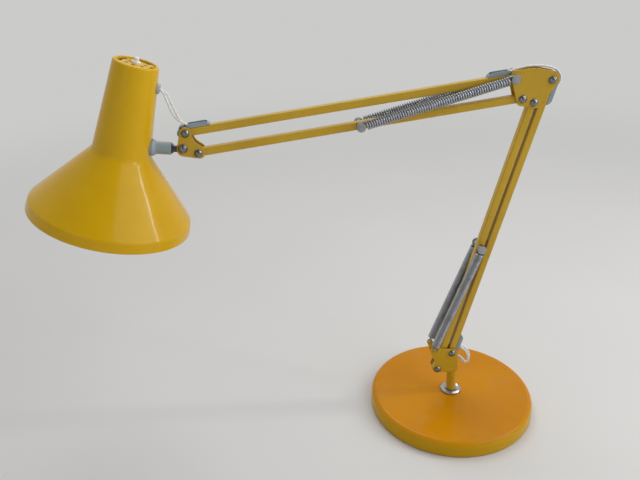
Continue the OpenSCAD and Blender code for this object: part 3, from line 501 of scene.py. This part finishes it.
# The zinc darkens within 3 mm of corners, as painted shade.
close_finish(coat, spangle, 0.02*MM, rounded(coat, 0.5*MM),
             Base_Color=shaded_in_corners(coat, 3*MM, 0.4, 0.9, plated, paint(42, 40, 37)),
             Roughness=0.26 + 0.16*dull + 0.06*spangle, Metallic=1.0)
dress(zinc, "collar_nut")

# Gland at the back of the base: a moulded blue-grey plastic nozzle pressed through the cover from outside.
# All the lamp's grey mouldings share its plastic, rubbed pale on their edges and darkened inside and in
# corners as painted shade.


def moulding(name, body, light, rub):
    """Moulded plastic: cloudy between two tones, rubbed on its edges, darkened in its corners as painted
    shade.
    """
    finish, coat = new_finish(name)
    soft = rounded(coat, 0.5*MM)
    rubbed = between(near_edge(coat, soft), 0.05, 0.3)*between(mottle(coat, 160, 4), 0.4, 0.7)
    cloudy = mottle(coat, 55, 4)
    corner_shade_and_grime = between(in_corners(coat, 9*MM), 0.4, 0.7)
    colour = mixed(rubbed*0.5, mixed(cloudy, body, light), rub)
    # The plastic goes nearly black in corners and channels within 9 mm, as painted shade.
    close_finish(coat, mottle(coat, 1300, 3), 0.03*MM, soft,
                 Base_Color=mixed(corner_shade_and_grime*0.94, colour, paint(34, 36, 38)), Roughness=0.4 + 0.14*cloudy)
    return finish


grey_moulding = moulding("grey_moulding", paint(136, 152, 160), paint(154, 169, 176), paint(194, 204, 209))
dress(grey_moulding, "lead_gland")

# Post and bracket: a hollow steel post that turns in the collar, riveted into a yoke of bent sheet.
# The yoke's two cheeks hold the arm's pivots, and their bent-out ears hold the lower springs.
arm_enamel = enamel("arm_enamel", paint(206, 167, 44), paint(196, 157, 38), dust=0.06, gloss=0.2,
                    rounding=0.9*MM)
dress(arm_enamel, "pivot_post", "swivel_bracket")

# Pivot bolts, nuts and washers: domed steel heads outside the sheet, plated and now a little dark, with
# painted shade round their edges, and natural nylon washers beside the tubes.
bolt_steel, coat = new_finish("bolt_steel")
dimmed = between(mottle(coat, 260, 5), 0.4, 0.75)
domed = mixed(dimmed, paint(132, 134, 139), paint(100, 101, 104))
# The heads go near black round their edges, where they meet the sheet, as painted shade.
close_finish(coat, mottle(coat, 1100, 3), 0.008*MM,
             Base_Color=shaded_in_corners(coat, 3.2*MM, 0.22, 0.65, domed, paint(14, 13, 12)),
             Roughness=0.13 + 0.14*dimmed, Metallic=1.0)
nylon, coat = new_finish("nylon")
stain = between(mottle(coat, 300, 4), 0.45, 0.7)
close_finish(coat, mottle(coat, 1600), 0.02*MM,
             Base_Color=mixed(stain, paint(228, 224, 210), paint(204, 196, 176)), Roughness=0.42 + 0.15*stain)
dress(bolt_steel, "bracket_bolts", "bracket_nuts", "elbow_bolts", "elbow_nuts", "head_bolts", "head_nuts",
      "tilt_bolt", "tilt_nut")
dress(nylon, "bracket_washers", "elbow_washers", "head_washers")

# Arm tubes: square steel tube with rounded corners, enamelled like the bracket, drilled for bushes and pins.
# The brass bushes are pressed into their ends and just show beside the washers.
dress(arm_enamel, "lower_front_tube", "lower_rear_tube", "upper_top_tube", "upper_bottom_tube")
brass, coat = new_finish("brass")
tarnish = between(mottle(coat, 220, 5), 0.4, 0.7)
close_finish(coat, mottle(coat, 1800, 2, (1, 4, 1)), 0.02*MM,
             Base_Color=mixed(tarnish, paint(206, 168, 92), paint(150, 114, 62)),
             Roughness=0.25 + 0.25*tarnish, Metallic=1.0)
dress(brass, "lower_front_bushes", "lower_rear_bushes", "upper_top_bushes", "upper_bottom_bushes")

# Flex guides: open plastic channels clipped on the tubes where the flex goes in and out.
# The one at the head also caps the tube's end and has a small hoop.
dress(grey_moulding, "lower_flex_guides", "upper_flex_guide", "head_flex_guide")

# Spring pins: steel pins riveted through the tubes and, at the elbow, through its plates. They are
# zinc-plated and now dull, with flat heads and a spacer on each side that keeps the springs clear.
dress(zinc, "lower_spring_pin", "elbow_spring_pin", "upper_spring_pin")

# Springs: tension springs of plated wire, eleven millimetres across. The lower pair is nearly closed, and
# the upper pair, of stouter wire, is drawn out. Their hooks go through the bracket's ears and round the pins.
spring_wire, coat = new_finish("spring_wire")
drawn = mottle(coat, 1500, 2, (0.3, 0.3, 1))
grimy = between(mottle(coat, 90, 5), 0.48, 0.75)
wire_grey = mixed(grimy*0.4, paint(168, 172, 178), paint(124, 120, 113))
# The wire darkens where the coils crowd each other, as painted shade.
close_finish(coat, drawn, 0.004*MM,
             Base_Color=shaded_in_corners(coat, 1.6*MM, 0.75, 1.25, wire_grey, paint(40, 38, 35)),
             Roughness=0.36 + 0.1*grimy, Metallic=1.0)
spring_r, spring_y = 5.7*MM, 11.2*MM
pin_r, elbow_pin_r = 3*MM, 2.5*MM
pin_lead, ear_lead = 6.8*MM, 7.6*MM
wire_corners, curl_steps, lead_step = 8, 18, 0.5*MM


def coil(start, end, u, e1, e2, coil_r, begin, pitch, angle):
    """Curls round the line from start to end, from a distance after start to the pin's lead before end."""
    span = (end - start).length - begin - pin_lead
    turns = round(span/pitch) + (0.25 if angle == 0 else 0)
    w = np.linspace(0, 2*math.pi*turns, int(turns*curl_steps) + 1)
    axis = np.array(start)[None] + (begin + span*w/w[-1])[:, None]*np.array(u)
    w = w[:, None] + angle
    return axis + coil_r*(np.cos(w)*np.array(e1) + np.sin(w)*np.array(e2))


def pin_hook(at, u, e2, coil_r, radius):
    """Hook round a pin, from its open end to the coil, which starts along u."""
    arc = [at + radius*(math.cos(a)*u + math.sin(a)*e2) for a in np.radians(np.arange(-45, -271, -22.5))]
    to_coil = 3.6*MM*u + (coil_r - 0.15*MM)*e2
    return [*arc, at + to_coil]


def ear_hook(at, u, e1):
    """Hook through the hole of an ear, from its open end to the coil."""
    radius = 2.9*MM
    middle = at + radius*u
    arc = [middle + radius*(math.sin(a)*e1 - math.cos(a)*u) for a in np.radians(np.arange(-140, 141, 20))]
    to_coil = 6.3*MM*u + 3.3*MM*e1
    return [*arc, at + to_coil]


def in_plane(place):
    """A place seen square to the arms' plane."""
    return np.array((place[0], place[2]))


def straight_share(far, joint, start, end, turn):
    """How far each spot of a spring turns about the pivot so that the spring stays straight."""
    centre, a, b = in_plane(pivot[joint]), in_plane(start), in_plane(end)
    c, s = math.cos(turn), math.sin(turn)
    b2 = centre + np.array(((c, s), (-s, c))) @ (b - centre)
    u = (b2 - a)/np.linalg.norm(b2 - a)
    at = a + np.clip(far, 0, np.linalg.norm(b - a))[:, None]*(b - a)/np.linalg.norm(b - a)
    reach = np.linalg.norm(at - centre, axis=1)
    mid = (a - centre) @ u
    on = a + (-mid + np.sqrt(np.maximum(mid*mid - (a - centre) @ (a - centre) + reach*reach, 0)))[:, None]*u
    old, new = at - centre, on - centre
    angle = np.arctan2(old[:, 1]*new[:, 0] - old[:, 0]*new[:, 1], (old*new).sum(axis=1))
    return np.clip(angle/turn, 0, 1)


def spring(node, start, end, in_ear, wire_r, pitch, joint, turn):
    """One spring from an ear or the elbow's pin to a tube's pin."""
    coil_r = spring_r - wire_r
    u = (end - start).normalized()
    e1 = Vector((0, 1 if start.y > 0 else -1, 0))
    e2 = u.cross(e1)
    if in_ear:
        first, begin, angle = ear_hook(start, u, e1), ear_lead, 0
    else:
        first, begin, angle = pin_hook(start, u, e2, coil_r, elbow_pin_r + wire_r), pin_lead, math.pi/2
    curls = coil(start, end, u, e1, e2, coil_r, begin, pitch, angle)
    last = pin_hook(end, -u, e2, coil_r, pin_r + wire_r)[::-1]
    lead_in = smooth_line([*first, *curls[:3]], lead_step)[:-4]
    lead_out = smooth_line([*curls[-3:], *last], lead_step)[4:]
    line = np.vstack([lead_in, curls[2:-2], lead_out])
    piece = round_wires(node + "_coil", [line], wire_r, wire_corners, e1, spring_wire)
    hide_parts(node)
    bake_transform(piece)
    far = (line - np.array(start)) @ np.array(u)
    bend_by(straight_share(far, joint, start, end, turn), wire_corners)


ear = pivot["lower_front_pivot"] + Vector((-8.2*MM, 0, 35.7*MM))
lower_way = (pivot["elbow_level"] - pivot["lower_arm"]).normalized()
upper_way = (pivot["head_level"] - pivot["upper_arm"]).normalized()
lower_pin = pivot["lower_front_pivot"] + lower_way*lower_len/2*MM
upper_pin = pivot["upper_bottom_pivot"] + upper_way*upper_len/2*MM
for side, y in (("front", -spring_y), ("back", spring_y)):
    out = Vector((0, y, 0))
    spring(f"lower_spring_{side}", ear + out, lower_pin + out, in_ear=True, wire_r=0.78*MM, pitch=1.62*MM,
           joint="lower_front_pivot", turn=math.radians(-25))
    spring(f"upper_spring_{side}", pivot["upper_arm"] + out, upper_pin + out, in_ear=False, wire_r=1.28*MM,
           pitch=2.87*MM, joint="upper_bottom_pivot",
           turn=math.radians(10))

# Elbow and head plates: blanked steel sheet, enamelled with the arms, in pairs outside the tubes.
# The pivot bolts and the spring pin clamp each pair, and their cut edges are painted lighter as a highlight.
dress(arm_enamel, "elbow_plate_front", "elbow_plate_back", "head_plate_front", "head_plate_back")

# Stem: a turned steel stub with a flat eye between the head plates, oiled dark, clamped by the tilt bolt
# between two hard fibre washers. Its shaft goes through the shade's neck to a nut.
dark_steel, coat = new_finish("dark_steel")
oily = between(mottle(coat, 150, 5), 0.4, 0.7)
close_finish(coat, mottle(coat, 1200, 3), 0.03*MM,
             Base_Color=mixed(oily, paint(86, 86, 88), paint(52, 50, 48)),
             Roughness=0.34 + 0.16*oily, Metallic=0.9)
dress(dark_steel, "head_stem")
lining, coat = new_finish("friction_lining")
fibres = mottle(coat, 1500, 6, (1, 0.3, 1))
close_finish(coat, fibres, 0.1*MM, Base_Color=mixed(fibres, paint(62, 50, 38), paint(98, 80, 60)),
             Roughness=0.75 + 0.15*fibres)
dress(lining, "tilt_washers")
dress(zinc, "stem_nut")

# Neck fittings: a moulded collar between stem and neck, flared to the neck's round, with its seat inside,
# and a paler grommet that keeps the flex off the sheet's edge.
dress(grey_moulding, "stem_collar", "stem_saddle", keep=40)
pale_moulding = moulding("pale_moulding", paint(168, 176, 179), paint(184, 191, 193), paint(206, 211, 212))
dress(pale_moulding, "shade_grommet", keep=40)

# Shade: spun steel, a tall neck that opens into a wide cone with a narrow upright band at its rim.
# It is enamelled yellow outside and matt white inside, the neck's inside is dark brown as painted shade, and
# a vented disc closes the top.
shade_enamel = enamel("shade_enamel", paint(217, 172, 4), paint(210, 163, 3), dust=0.03, gloss=0.13,
                      clear=0.27)
dress(shade_enamel, "shade_shell", "shade_cap")
inside_white, coat = new_finish("inside_white")
browned = between(mottle(coat, 24, 5), 0.4, 0.75)
close_finish(coat, mottle(coat, 800, 2), 0.03*MM,
             Base_Color=mixed(browned*0.6, paint(238, 235, 224), paint(222, 210, 182)),
             Roughness=0.48 + 0.15*browned)
# The neck's inside is painted dark brown, as shade seen through the cap's vents.
neck_inside, coat = new_finish("neck_inside")
neck_shade_mottle = between(mottle(coat, 70, 5), 0.35, 0.7)
close_finish(coat, mottle(coat, 900, 3), 0.04*MM,
             Base_Color=mixed(neck_shade_mottle, paint(74, 56, 30), paint(40, 31, 20)), Roughness=0.55 + 0.2*neck_shade_mottle)
shell = parts["shade_shell"].data
shell.materials.append(inside_white)
shell.materials.append(neck_inside)
cone_slot, neck_slot = 1, 2
shade_axis, shade_mid = Vector((0.2957, 0, 0.9553)), Vector((-0.4144, 0, 0.4107))
lip_foot, holder_foot = 94*MM, 20*MM
for face in shell.polygons:
    out = face.center - shade_mid
    height = out.dot(shade_axis)
    outward = face.normal.dot((out - height*shade_axis).normalized())
    if outward < -0.02 and height < lip_foot:
        face.material_index = neck_slot if height > holder_foot else cone_slot

# Lampholder and bulb: a black phenolic holder under the cap, which the switch's thread clamps, with an opal
# glass bulb screwed into it by its brass cap.
phenolic, coat = new_finish("phenolic")
swirl = mottle(coat, 190, 4)
close_finish(coat, mottle(coat, 1500, 2), 0.01*MM,
             Base_Color=mixed(swirl, paint(26, 24, 23), paint(40, 36, 33)), Roughness=0.26 + 0.12*swirl)
dress(phenolic, "lampholder")
opal_glass, coat = new_finish("opal_glass")
milky = mottle(coat, 60, 3)
close_finish(coat, milky, 0.01*MM, Base_Color=mixed(milky, paint(246, 243, 234), paint(238, 234, 222)),
             Roughness=0.14 + 0.08*milky, Coat_Weight=0.4)
dress(opal_glass, "bulb_glass")
bulb_brass, coat = new_finish("bulb_brass")
spotted = between(mottle(coat, 400, 4), 0.45, 0.7)
close_finish(coat, mottle(coat, 1200, 2, (1, 1, 4)), 0.05*MM,
             Base_Color=mixed(spotted, paint(206, 192, 150), paint(160, 140, 98)),
             Roughness=0.25 + 0.2*spotted, Metallic=1.0)
dress(bulb_brass, "bulb_cap")

# Switch: a white push button in a moulded bezel, which screws down on the shade's cap and holds the
# lampholder below it. The white has aged a little towards cream.
white_moulding, coat = new_finish("white_moulding")
aged = between(mottle(coat, 140, 4), 0.4, 0.75)
close_finish(coat, mottle(coat, 1400, 2), 0.02*MM, rounded(coat, 0.4*MM),
             Base_Color=mixed(aged, paint(240, 239, 233), paint(226, 221, 204)), Roughness=0.28 + 0.15*aged)
dress(white_moulding, "switch_bezel", "switch_button")

# Floor and light: a plain pale floor that stays pale far away, under a broad lamp and two narrow ones from
# the right, and weaker lamps from the left and from behind. The surround is even, but darker high up behind
# the camera, so that the metal has something to show.
floor_half = 9
floor_finish, coat = new_finish("floor")
lit = coat.node("ShaderNodeBsdfPrincipled", {}, {
    "Base Color": mixed(mottle(coat, 3, 3), paint(214, 213, 211), paint(220, 219, 217)),
    "Roughness": 0.6 + 0.1*mottle(coat, 40)})
even = coat.node("ShaderNodeEmission", {}, {"Color": paint(203, 203, 202)})
reach = coat.node("ShaderNodeVectorMath", {"operation": "LENGTH"},
                  {0: coat.node("ShaderNodeTexCoord", out="Object")}, out="Value")
seen = coat.node("ShaderNodeLightPath", out="Is Camera Ray")
for ray in ("Is Glossy Ray", "Is Transmission Ray"):
    seen = seen + coat.node("ShaderNodeLightPath", out=ray)
coat.node("ShaderNodeOutputMaterial", {}, {"Surface": coat.node("ShaderNodeMixShader", {}, {
    0: seen*between(reach, 0.5, 2.2), 1: lit, 2: even})})
floor_corners = [(x*floor_half, y*floor_half, 0) for x, y in ((-1, -1), (1, -1), (1, 1), (-1, 1))]
piece_from("floor", floor_corners, [(0, 1, 2, 3)], floor_finish)
lamps_aim = Vector((-0.15, 0, 0.25))
for name, place, width, height, power in (
        ("key", (1.3, -0.8, 1.6), 2.2, 2.2, 17),
        ("strip", (1.5, -0.05, 1.3), 0.07, 1.2, 5),
        ("edge", (2.0, -0.9, 0.9), 0.22, 0.8, 4.5),
        ("fill", (-1.1, -1.5, 1.2), 1.4, 1.4, 2.5),
        ("top", (-0.2, 0.9, 1.7), 1.2, 1.2, 7)):
    lamp = bpy.data.lights.new(name, "AREA")
    lamp.shape = "ELLIPSE"
    lamp.size = width
    lamp.size_y = height
    lamp.energy = power
    holder = bpy.data.objects.new(name, lamp)
    bpy.context.scene.collection.objects.link(holder)
    holder.location = place
    holder.rotation_euler = (lamps_aim - Vector(place)).to_track_quat("-Z", "Y").to_euler()
surround = bpy.data.worlds.new("surround")
bpy.context.scene.world = surround
surround.use_nodes = True
surround.node_tree.nodes.clear()
air = Layer(surround.node_tree)
way = air.node("ShaderNodeTexCoord", out="Generated")
beyond = between(air.node("ShaderNodeSeparateXYZ", {}, {0: way}, out="Y"), -0.7, 0.3)
low = 1 - between(air.node("ShaderNodeSeparateXYZ", {}, {0: way}, out="Z"), 0.06, 0.3)
dim_air, pale_air = (0.16, 0.16, 0.17, 1), (0.9, 0.9, 0.9, 1)
glow = air.node("ShaderNodeBackground", {}, {
    "Color": mixed(air.maths("MAXIMUM", beyond, low), dim_air, pale_air), "Strength": 0.7})
air.node("ShaderNodeOutputWorld", {}, {"Surface": glow})
bpy.context.scene.view_settings.view_transform = "Standard"
